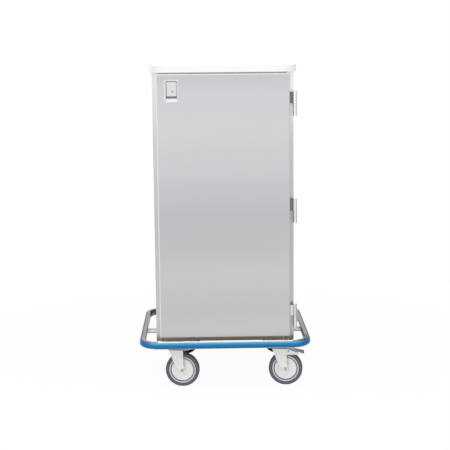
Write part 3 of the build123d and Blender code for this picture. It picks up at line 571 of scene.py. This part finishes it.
# Painted shade on the kick strip under the door, darkest at its foot.
kick_painted_shade = [
    (0.21, (0.31, 0.275, 0.25)),
    (0.222, (0.36, 0.32, 0.28)),
    (0.233, (0.46, 0.43, 0.40)),
    (0.2345, (0.58, 0.58, 0.58)),
]
kick_end_places, kick_end_half = (-0.271, 0.262), 0.0015
kick_low, kick_high, kick_back = 0.2, 0.233, -0.29
kick_end_tone = (0.55, 0.54, 0.52)
kick_ends = [
    block(
        (x - kick_end_half, -far, kick_low),
        (x + kick_end_half, kick_back, kick_high),
        kick_end_tone,
    )
    for x in kick_end_places
]
sill_steel = ground_steel("sill_steel", kick_painted_shade, 0.4, sideways, marks=kick_ends)
dress(sill_steel, "sill")


# Roof cap. One sheet folded down all round into a skirt, welded and polished
# at its corners, with its grain running across. The skirt is painted brighter
# than the walls as a painted reflection, with painted shade towards its ends
# and on its rounded end edges, more at the right, and its top is painted a
# darker tone.

cap_low, cap_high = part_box("top_cap")
end_depth, end_fade = 0.03, 0.05
edge_depth, edge_fade = 0.004, 0.002
top_skin = 0.0012
cap_painted_shading = [
    across_slice(-far, cap_low[0] + end_depth, (0.81, 0.81, 0.83), end_fade),
    across_slice(cap_high[0] - end_depth, far, (0.77, 0.77, 0.79), end_fade),
    across_slice(-far, cap_low[0] + edge_depth, (0.6, 0.6, 0.62), edge_fade),
    across_slice(cap_high[0] - edge_depth, far, (0.5, 0.5, 0.53), edge_fade),
    level_slice(cap_high[2] - top_skin, far, (0.60, 0.605, 0.615), top_skin),
]
cap_painted_sheen = (0.95, 0.955, 0.96)
cap_steel = ground_steel("cap_steel", cap_painted_sheen, 0.3, sideways, lines=0.02, marks=cap_painted_shading)
dress(cap_steel, "top_cap")


# Door. A folded outer pan of satin steel, an inner liner welded into it and a
# soft seal that lies against the posts.

# The door is painted in soft bands of painted reflection. Each band is a share of the door's
# height and a colour.
door_painted_sheen = [
    (0.0, (0.54, 0.535, 0.52)),
    (0.03, (0.575, 0.57, 0.555)),
    (0.10, (0.55, 0.55, 0.55)),
    (0.24, (0.575, 0.58, 0.575)),
    (0.38, (0.53, 0.535, 0.55)),
    (0.46, (0.515, 0.53, 0.55)),
    (0.56, (0.55, 0.565, 0.585)),
    (0.64, (0.6, 0.61, 0.63)),
    (0.80, (0.64, 0.645, 0.66)),
    (0.92, (0.62, 0.63, 0.655)),
    (1.0, (0.57, 0.58, 0.605)),
]
door_low, door_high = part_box("door_skin")
door_height = door_high[2] - door_low[2]
door_sheen_bands = [(door_low[2] + share * door_height, colour) for share, colour in door_painted_sheen]
# Painted highlights along the door's left and top folds, and painted shade along its right fold.
left_fold, top_fold, right_fold, fold_fade = 0.0042, 0.0045, 0.003, 0.001
door_fold_painted_light = [
    across_slice(-far, door_low[0] + left_fold, (0.74, 0.76, 0.77), fold_fade),
    level_slice(door_high[2] - top_fold, far, (0.80, 0.81, 0.84), fold_fade),
    across_slice(door_high[0] - right_fold, far, (0.5, 0.5, 0.52), fold_fade),
]
door_steel = ground_steel("door_steel", door_sheen_bands, 0.38, lines=0.02, marks=door_fold_painted_light)
dress(door_steel, "door_skin")

liner_weld_rows, liner_weld_pitch = (-0.281, 0.281), 0.1
liner_marks = [weld_row((x, 0, 0), along_x, liner_weld_pitch) for x in liner_weld_rows]
liner_steel = ground_steel("liner_steel", (0.62, 0.625, 0.63), 0.33, marks=liner_marks)
dress(liner_steel, "door_liner")

cloud_scale = 14
cloud_gloss = 0.1


def pore_group():
    """Moulded rubber or plastic: soft clouds of tone and a fine skin of pores.

    Tone is one plus both signed noises times Fleck, Gloss is a share of the
    clouds, and Height is the skin's noise for the bump.
    """
    values = {"Fleck": 0.04, "Pores": 220.0}
    group, start, end = new_group("pore_skin", values, ("Tone", "Gloss", "Height"))
    clouds = noise_node(group, start["Place"], cloud_scale, detail=3.0, roughness=0.6)
    noise = group.nodes.new("ShaderNodeTexNoise")
    join(group, start["Place"], noise.inputs["Vector"])
    join(group, start["Pores"], noise.inputs["Scale"])
    skin = math_node(group, "SUBTRACT", noise.outputs["Fac"], 0.5)
    cloud_tone = math_node(group, "MULTIPLY", clouds, start["Fleck"])
    skin_tone = math_node(group, "MULTIPLY", skin, start["Fleck"])
    join(group, sum_of(group, cloud_tone, skin_tone, 1.0), end["Tone"])
    join(group, math_node(group, "MULTIPLY", clouds, cloud_gloss), end["Gloss"])
    join(group, skin, end["Height"])
    return group


pore_skin = pore_group()
pore_depth = 0.00003
coat_roughness = 0.15


def moulded(
    name, paint, roughness, fleck=0.04, pores=220.0, coat=0.0, specular=0.5, marks=()
):
    """Moulded rubber or plastic with a skin of pores and its marks."""
    finish, tree, shader, place = new_material(name)
    skin = placed(tree, pore_skin, place, {"Fleck": fleck, "Pores": pores})
    colour = marked(tree, place, paint, marks)
    tree.links.new(toned(tree, skin["Tone"], colour), shader.inputs["Base Color"])
    rough = math_node(tree, "ADD", skin["Gloss"], roughness)
    tree.links.new(rough, shader.inputs["Roughness"])
    shader.inputs["Coat Weight"].default_value = coat
    shader.inputs["Coat Roughness"].default_value = coat_roughness
    shader.inputs["Specular IOR Level"].default_value = specular
    add_bump(tree, shader, skin["Height"], pore_depth)
    return finish


seal_rubber = moulded("seal_rubber", (0.2, 0.2, 0.2), 0.6)
dress(seal_rubber, "door_gasket")


# Shelves. Two welded wire racks stand on clips in slotted upright strips that
# are spot welded to the side panels.

strip_steel = ground_steel("strip_steel", (0.6, 0.605, 0.61), 0.32)
wire_steel = ground_steel("wire_steel", (0.66, 0.665, 0.67), 0.22, sideways, lines=0.02)
dress(strip_steel, "shelf_standards", "shelf_clips")
dress(wire_steel, "shelf_lower", "shelf_upper")


# Base frame. Two box rails and three cross ties of stainless tube carry the
# cabinet, the casters and the bumper, and are welded to the bumper's channel.

endways = (90, 0, 0)
rail_steel = ground_steel("rail_steel", (0.6, 0.6, 0.59), 0.33, endways)
dress(rail_steel, "base_rails")
# Painted light on the cross ties: dark lines at their edges as painted shade, a pale face, and a
# white top as a painted reflection.
tie_painted_light = [
    (0.188, (0.2, 0.2, 0.2)),
    (0.1905, (0.25, 0.25, 0.25)),
    (0.1925, (0.75, 0.75, 0.75)),
    (0.2055, (0.8, 0.8, 0.8)),
    (0.2065, (0.2, 0.2, 0.2)),
    (0.2088, (0.2, 0.2, 0.2)),
    (0.2096, (1.0, 1.0, 1.0)),
]
tie_steel = ground_steel("tie_steel", tie_painted_light, 0.33, sideways)
dress(tie_steel, "cross_ties")

bead_radius = 0.0022
ripple_pitch = 0.0018
ripple_depth = 0.14
ripple_steps = 4
taper_radii = 3
ring_count = 10
steep = 0.9


def closed_rope(start, rings, stop):
    """A rope of rings, each joined to the next, with a pole at either end.

    Ring r holds the same number of points as ring r + 1, point to point, and
    the first and the last ring each fan out from their own pole.
    """
    total, around = rings.shape[:2]
    points = np.concatenate([[start], rings.reshape(-1, 3), [stop]])
    row, column = np.meshgrid(np.arange(total - 1), np.arange(around), indexing="ij")
    after = (column + 1) % around
    first, second = 1 + row * around, 1 + (row + 1) * around
    sides = np.stack([first + column, first + after, second + after, second + column], -1)
    last_pole, last_ring = len(points) - 1, len(points) - 1 - around
    column, after = column[0], after[0]
    near_pole = np.stack([0 * column, 1 + after, 1 + column], -1)
    far_pole = np.stack([0 * column + last_pole, last_ring + column, last_ring + after], -1)
    return points, [sides.reshape(-1, 4), near_pole, far_pole]


def bead_surface(start, stop):
    """A weld bead: a thin rope of steel between two points.

    At distance s along it the radius is R (1 + d cos(2 pi s / pitch)) times a
    taper, the least of one and sqrt(s (length - s)) / 3 R. The ring at s is a
    circle of that radius square to the line, and a pole closes each end.
    """
    start, stop = np.array(start, float), np.array(stop, float)
    length = np.linalg.norm(stop - start)
    ahead = (stop - start) / length
    aside = np.array((0, 0, 1.0)) if abs(ahead[2]) < steep else np.array((1.0, 0, 0))
    above = np.cross(ahead, aside)
    steps = int(length / ripple_pitch * ripple_steps) + 2
    s = np.linspace(0, length, steps)[1:-1]
    from_ends = np.sqrt(np.clip(s * (length - s), 0, None))
    taper = np.minimum(1, from_ends / (taper_radii * bead_radius))
    radius = bead_radius * (1 + ripple_depth * np.cos(2 * np.pi * s / ripple_pitch)) * taper
    angle = np.linspace(0, 2 * np.pi, ring_count, endpoint=False)
    circle = np.cos(angle)[:, None] * aside + np.sin(angle)[:, None] * above
    rings = start + s[:, None, None] * ahead + radius[:, None, None] * circle
    return closed_rope(start, rings, stop)


def surface_piece(name, surfaces, finish, body):
    """One object from several surfaces, riding on a body with its finish."""
    points, faces, count = [], [], 0
    for some_points, face_arrays in surfaces:
        points.append(some_points)
        for face_array in face_arrays:
            faces.extend((face_array + count).tolist())
        count += len(some_points)
    mesh = bpy.data.meshes.new(name)
    mesh.from_pydata(np.concatenate(points).tolist(), [], faces)
    mesh.shade_smooth()
    mesh.materials.append(finish)
    piece = bpy.data.objects.new(name, mesh)
    scene.collection.objects.link(piece)
    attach(piece, body)
    return piece


# Rails and ties are the same flat tube, and this is half its width.
tube_half = 0.05
rail_low, rail_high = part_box("base_rails")
_, tie_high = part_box("cross_ties")
rail_middle = rail_high[0] - tube_half
weld_top = rail_high[2]


def frame_beads():
    """Beads where rails and ties meet the channel, along top and upright edges."""
    beads = []
    for side_sign in (-1, 1):
        for end_sign in (-1, 1):
            near = side_sign * (rail_middle - tube_half)
            outer = side_sign * (rail_middle + tube_half)
            y = end_sign * rail_high[1]
            beads.append(bead_surface((near, y, weld_top), (outer, y, weld_top)))
            beads.append(bead_surface((near, y, rail_low[2]), (near, y, weld_top)))
        x = side_sign * tie_high[0]
        beads.append(bead_surface((x, -tube_half, weld_top), (x, tube_half, weld_top)))
        for y in (-tube_half, tube_half):
            beads.append(bead_surface((x, y, rail_low[2]), (x, y, weld_top)))
    return beads


bead_steel = ground_steel("bead_steel", (0.5, 0.49, 0.47), 0.4, lines=0.05, smear=0.12)
surface_piece("frame_welds", frame_beads(), bead_steel, "cabinet")


# Bumper. A lipped steel channel is bent into a ring and holds a thick blue
# vinyl strip that stands proud of it all round.

# Painted light and shade on the channel: a pale lower lip and a white, matt front lip as painted
# reflection, and a dark face, dark side runs and a dark inside corner as painted shade.
channel_painted_shading = [
    (0.188, (0.62, 0.58, 0.52)),
    (0.1905, (0.45, 0.42, 0.38)),
    (0.1935, (0.2, 0.18, 0.165)),
    (0.2145, (0.15, 0.135, 0.125)),
    (0.2175, (0.33, 0.325, 0.33)),
    (0.22, (0.37, 0.365, 0.37)),
]
lip_foot, lip_half_run, lip_back = 0.2165, 0.30, -0.335
side_inside, side_lip_front = 0.33, -0.26
side_half_run, side_face_top = 0.30, 0.2185
shade_inside, shade_foot, shade_back = 0.322, 0.19, -0.235
front_lip_painted_glare = block(
    (-lip_half_run, -far, lip_foot), (lip_half_run, lip_back, far), (1, 1, 1), 0.006
)
channel_painted_marks = [front_lip_painted_glare]
for inner, outer in ((-far, -side_inside), (side_inside, far)):
    side_lip = (inner, side_lip_front, lip_foot), (outer, far, far)
    side_face = (inner, -side_half_run, -far), (outer, side_half_run, side_face_top)
    channel_painted_marks.append(block(*side_lip, (0.25, 0.247, 0.25), 0.004))
    channel_painted_marks.append(block(*side_face, (0.05, 0.046, 0.043), 0.003))
corner_shade = (shade_inside, -far, shade_foot), (far, shade_back, far)
channel_painted_marks.append(block(*corner_shade, (0.07, 0.07, 0.075), 0.012))
channel_steel = ground_steel(
    "channel_steel", channel_painted_shading, 0.32, sideways, marks=channel_painted_marks, matt_patch=front_lip_painted_glare
)
dress(channel_steel, "bumper_channel")

# The blue vinyl is painted lighter towards its top and darker towards its bottom, as painted
# light and shade.
vinyl_painted_shading = [
    (0.191, (0.01, 0.08, 0.19)),
    (0.1955, (0.0, 0.13, 0.32)),
    (0.203, (0.0, 0.16, 0.39)),
    (0.2095, (0.02, 0.23, 0.48)),
    (0.217, (0.08, 0.33, 0.60)),
]
# Painted shade on the strip at its corners and along its side runs, darkest on the right run.
corner_start, run_front = 0.34, -0.24
corner_fade, run_fade = 0.03, 0.06
corner_tone, left_tone, right_tone = (0.0, 0.12, 0.34), (0.02, 0.13, 0.32), (0.01, 0.05, 0.12)
left_run = (-far, run_front, -far), (-corner_start, far, far)
right_run = (corner_start, run_front, -far), (far, far, far)
strip_painted_shade = [
    across_slice(-far, -corner_start, corner_tone, corner_fade),
    across_slice(corner_start, far, corner_tone, corner_fade),
    block(*left_run, left_tone, run_fade),
    block(*right_run, right_tone, run_fade),
]
blue_vinyl = moulded(
    "blue_vinyl",
    vinyl_painted_shading,
    0.45,
    fleck=0.05,
    pores=400.0,
    coat=0.05,
    specular=0.25,
    marks=strip_painted_shade,
)
dress(blue_vinyl, "bumper_strip")


# Hinges. Each has a cabinet leaf and a door leaf rolled round one pin, of
# stamped stainless steel, held by countersunk screws.

# Painted light on the hinges: a painted reflection line down each barrel, a painted shade line at
# the barrel's edge on the cabinet leaves, the upper and middle door leaves painted dark beside
# the barrel as a painted reflection, and the lower door leaf painted lighter, with painted shade
# along its edges.
barrel_left, barrel_right = 0.3155, 0.3205
seam_left, seam_right = 0.3055, 0.3075
plate_right = 0.3052
line_fade = 0.001
pale_leaf = (0.78, 0.78, 0.79)
barrel_reflection_line = across_slice(barrel_left, barrel_right, (0.42, 0.38, 0.42), line_fade)
seam_shade_line = across_slice(seam_left, seam_right, (0.2, 0.18, 0.2), line_fade)
shaded_plate = across_slice(-far, plate_right, (0.17, 0.17, 0.18))
leaf_steel = ground_steel("leaf_steel", pale_leaf, 0.32, marks=[barrel_reflection_line, seam_shade_line])
shaded_steel = ground_steel("shaded_steel", pale_leaf, 0.34, marks=[barrel_reflection_line, shaded_plate])
leaf_low, leaf_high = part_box("hinge_door_leaf_lower")
edge_right, edge_drop, edge_band = 0.3065, 0.004, 0.002
leaf_edge_shade = outline(
    (leaf_low[0], -far, leaf_low[2]),
    (edge_right, far, leaf_high[2] - edge_drop),
    edge_band,
    (0.3, 0.3, 0.31),
)
lower_leaf_shade_marks = [leaf_edge_shade, barrel_reflection_line]
lower_steel = ground_steel("lower_steel", (0.66, 0.66, 0.69), 0.32, marks=lower_leaf_shade_marks)
pin_steel = ground_steel("pin_steel", (0.55, 0.55, 0.55), 0.25)
for level in ("upper", "middle", "lower"):
    dress(leaf_steel, f"hinge_cabinet_leaf_{level}")
    dress(lower_steel if level == "lower" else shaded_steel, f"hinge_door_leaf_{level}")
dress(pin_steel, "hinge_pins", "cabinet_hinge_screws", "door_hinge_screws")


# Latch. A pressed dish in the door holds a paddle with a key lock. Behind it
# sit the case, the bolt and its spring.


def front_patch(left, low, right, high, paint):
    """A mark over an upright rectangle as seen from the front, at any depth."""
    return block((left, -far, low), (right, far, high), paint)


dish_low, dish_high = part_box("latch_dish")
paddle_low, paddle_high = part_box("latch_paddle")
pocket_side = 0.003
pocket_left, pocket_right = paddle_low[0] - pocket_side, paddle_high[0] + pocket_side
dish_edge, paddle_lap = 0.003, 0.001
top_room, floor_rise = 0.0045, 0.004
finger_below, finger_above = 0.0105, 0.002
gap_foot, gap_top = paddle_high[2] - paddle_lap, paddle_high[2] + top_room
finger_foot, finger_top = paddle_low[2] - finger_below, paddle_low[2] + finger_above
floor_foot, pocket_floor_highlight = dish_low[2] + floor_rise, (0.9, 0.9, 0.92)
edge_stop, lap_stop = dish_low[0] + dish_edge, paddle_low[0] + paddle_lap
# Painted light in the dish: a painted highlight on its left rim and on the pocket floor below the
# paddle, and painted shade in the gap above the paddle, along its left side and in the finger gap
# under it.
dish_painted_light = [
    front_patch(dish_low[0], dish_low[2], edge_stop, dish_high[2], (0.78, 0.78, 0.79)),
    front_patch(pocket_left, gap_foot, pocket_right, gap_top, (0.36, 0.36, 0.37)),
    front_patch(pocket_left, paddle_low[2], lap_stop, paddle_high[2], (0.42, 0.42, 0.43)),
    front_patch(pocket_left, floor_foot, pocket_right, paddle_low[2], pocket_floor_highlight),
    front_patch(pocket_left, finger_foot, pocket_right, finger_top, (0.22, 0.22, 0.235)),
]
dish_metal = ground_steel("dish_metal", (0.68, 0.68, 0.69), 0.26, lines=0.02, marks=dish_painted_light)
paddle_metal = ground_steel("paddle_metal", (0.74, 0.745, 0.75), 0.3, lines=0.02)
dress(dish_metal, "latch_dish")
dress(paddle_metal, "latch_paddle")


def ring_group():
    """A ring round an axle: the mask is one between two distances from it.

    The distance is the length of (place - hub) x axle.
    """
    values = {"Hub": (0, 0, 0), "Axle": (0, 1, 0), "Inner": 0.0, "Outer": 0.05, "Soft": 0.0008}
    group, start, end = new_group("axle_ring", values, ("Mask",))
    away = vector_node(group, "SUBTRACT", start["Place"], start["Hub"])
    away = vector_node(group, "CROSS_PRODUCT", away, start["Axle"])
    distance = vector_node(group, "LENGTH", away)
    both = math_node(group, "ADD", start["Inner"], start["Outer"])
    middle = math_node(group, "MULTIPLY", both, 0.5)
    half = math_node(group, "SUBTRACT", start["Outer"], middle)
    off = math_node(group, "ABSOLUTE", math_node(group, "SUBTRACT", distance, middle))
    off = math_node(group, "DIVIDE", math_node(group, "SUBTRACT", off, half), start["Soft"])
    join(group, map_range(group, off, -0.5, 0.5, 1.0, 0.0), end["Mask"])
    return group


axle_ring = ring_group()
joints = {joint["name"]: joint for joint in frame["joints"]}


def hoop(joint, inner, outer, paint):
    """A mark for a ring round a joint's own axis, between two radii."""
    hub, axle = joints[joint]["pos_m"], joints[joint]["axis"]
    return axle_ring, "Mask", {"Hub": hub, "Axle": axle, "Inner": inner, "Outer": outer}, paint


keyway_inner, keyway_outer = 0.0036, 0.0056
keyway_ring = hoop("lock_turn", keyway_inner, keyway_outer, (0.24, 0.25, 0.33))
lock_metal = ground_steel("lock_metal", (0.75, 0.76, 0.8), 0.2, marks=[keyway_ring])
case_metal = ground_steel("case_metal", (0.55, 0.55, 0.54), 0.36)
dress(lock_metal, "lock_cylinder", "paddle_pin")
dress(case_metal, "latch_case", "latch_bolt", "latch_screws", "strike_plate")

spring_metal = ground_steel("spring_metal", (0.5, 0.5, 0.5), 0.3)
spring_low, spring_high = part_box("bolt_spring")
wire_radius = 0.0006
coil_pitch = 0.004
coil_steps = 32


def spring_surface():
    """The bolt spring: a round wire wound along X, with a pole at either end.

    At turn angle t the wire's middle is (x + pitch t / 2 pi, y + R cos t,
    z + R sin t), and each ring is a circle of the wire's radius square to it.
    """
    coil_radius = (spring_high[2] - spring_low[2]) / 2 - wire_radius
    coil_middle = (np.array(spring_low) + np.array(spring_high)) / 2
    run = spring_high[0] - spring_low[0] - 2 * wire_radius
    turns = run / coil_pitch
    t = np.linspace(0, 2 * np.pi * turns, int(turns * coil_steps))
    outward = np.stack([0 * t, np.cos(t), np.sin(t)], -1)
    rise = coil_pitch / (2 * np.pi)
    along = np.stack([0 * t + rise, -coil_radius * np.sin(t), coil_radius * np.cos(t)], -1)
    along /= np.linalg.norm(along, axis=1)[:, None]
    above = np.cross(along, outward)
    wire = coil_radius * outward + np.array((0, *coil_middle[1:]))
    wire[:, 0] = spring_low[0] + wire_radius + rise * t
    angle = np.linspace(0, 2 * np.pi, ring_count, endpoint=False)[None, :, None]
    circles = np.cos(angle) * outward[:, None] + np.sin(angle) * above[:, None]
    return closed_rope(wire[0], wire[:, None] + wire_radius * circles, wire[-1])


spring_wire = surface_piece(
    "bolt_spring_wire", [spring_surface()], spring_metal, "door"
)
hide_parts("bolt_spring")
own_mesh(spring_wire)


# Casters. Each has a bolted top plate, a zinc plated fork, an off-white
# plastic wheel and a slate grey rubber tyre. Two have a brake pedal.

bolt_zinc = ground_steel("bolt_zinc", (0.5, 0.5, 0.48), 0.35)
plate_zinc = ground_steel("plate_zinc", (0.70, 0.69, 0.66), 0.42, smear=0.12)
dress(bolt_zinc, "caster_bolts")
# The fork is painted paler towards its foot and darker up under the plate, as painted light and
# shade.
fork_painted_shade = [
    (0.076, (0.82, 0.82, 0.80)),
    (0.115, (0.75, 0.745, 0.72)),
    (0.15, (0.71, 0.70, 0.67)),
    (0.172, (0.69, 0.68, 0.66)),
]
# A painted shadow in the gap between the top plate and the fork's crown.
crown_foot, crown_top = 0.1690, 0.1730
crown_gap_shade = [level_slice(crown_foot, crown_top, (0.10, 0.075, 0.075))]
nut_radius = 0.0030

# The wheel's groove and flank, painted darker as painted shade in the recess, then its rim and
# rim edge: inner radius, outer radius, tone.
wheel_rings = (
    (0.0500, 0.0530, (0.14, 0.15, 0.18)),
    (0.0530, 0.0560, (0.40, 0.42, 0.47)),
    (0.0560, 0.0597, (0.76, 0.79, 0.86)),
    (0.0597, 0.0625, (0.2, 0.21, 0.25)),
)

# The tyres are painted darker at their outer edge as painted shade. The rear
# tyres show only in the dark under the cart, so they are painted darker and
# duller than the front ones, as painted shade.
tread_edge_radius, tread_edge_reach = 0.0725, 0.08
tread_tones = {"front": (0.1, 0.106, 0.137), "rear": (0.012, 0.012, 0.014)}
tread_speculars = {"front": 0.5, "rear": 0.1}
for corner in ("front_left", "front_right", "rear_left", "rear_right"):
    end, wheel = corner.split("_")[0], f"wheel_{corner}"
    core_marks = [hoop(wheel, *ring) for ring in wheel_rings]
    tread_edge_shade = [hoop(wheel, tread_edge_radius, tread_edge_reach, (0.055, 0.056, 0.072))]
    nut_marks = [hoop(wheel, 0.0, nut_radius, (0.22, 0.21, 0.2))]
    core = moulded(f"core_{corner}", (0.87, 0.87, 0.85), 0.45, fleck=0.08, marks=core_marks)
    tread = moulded(
        f"tread_{corner}",
        tread_tones[end],
        0.55,
        fleck=0.1,
        specular=tread_speculars[end],
        marks=tread_edge_shade,
    )
    fork_zinc = ground_steel(
        f"fork_{corner}", fork_painted_shade, 0.42, lines=0.09, smear=0.12, marks=crown_gap_shade
    )
    nut_zinc = ground_steel(f"axle_{corner}", (0.55, 0.55, 0.54), 0.35, marks=nut_marks)
    dress(plate_zinc, f"caster_plate_{corner}")
    dress(fork_zinc, f"caster_fork_{corner}")
    dress(nut_zinc, f"axle_{corner}")
    dress(core, f"wheel_core_{corner}")
    dress(tread, f"tyre_{corner}")

toe_reach, toe_fade = 0.009, 0.004
for corner in ("front_right", "rear_left"):
    name = f"brake_pedal_{corner}"
    pedal_low, pedal_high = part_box(name)
    toe = pedal_high[0] if corner == "front_right" else pedal_low[0]
    toe_mark = across_slice(toe - toe_reach, toe + toe_reach, (0.07, 0.075, 0.08), toe_fade)
    pedal_steel = ground_steel(
        name, (0.27, 0.3, 0.33), 0.35, sideways, smear=0.1, marks=[toe_mark]
    )
    dress(pedal_steel, name)
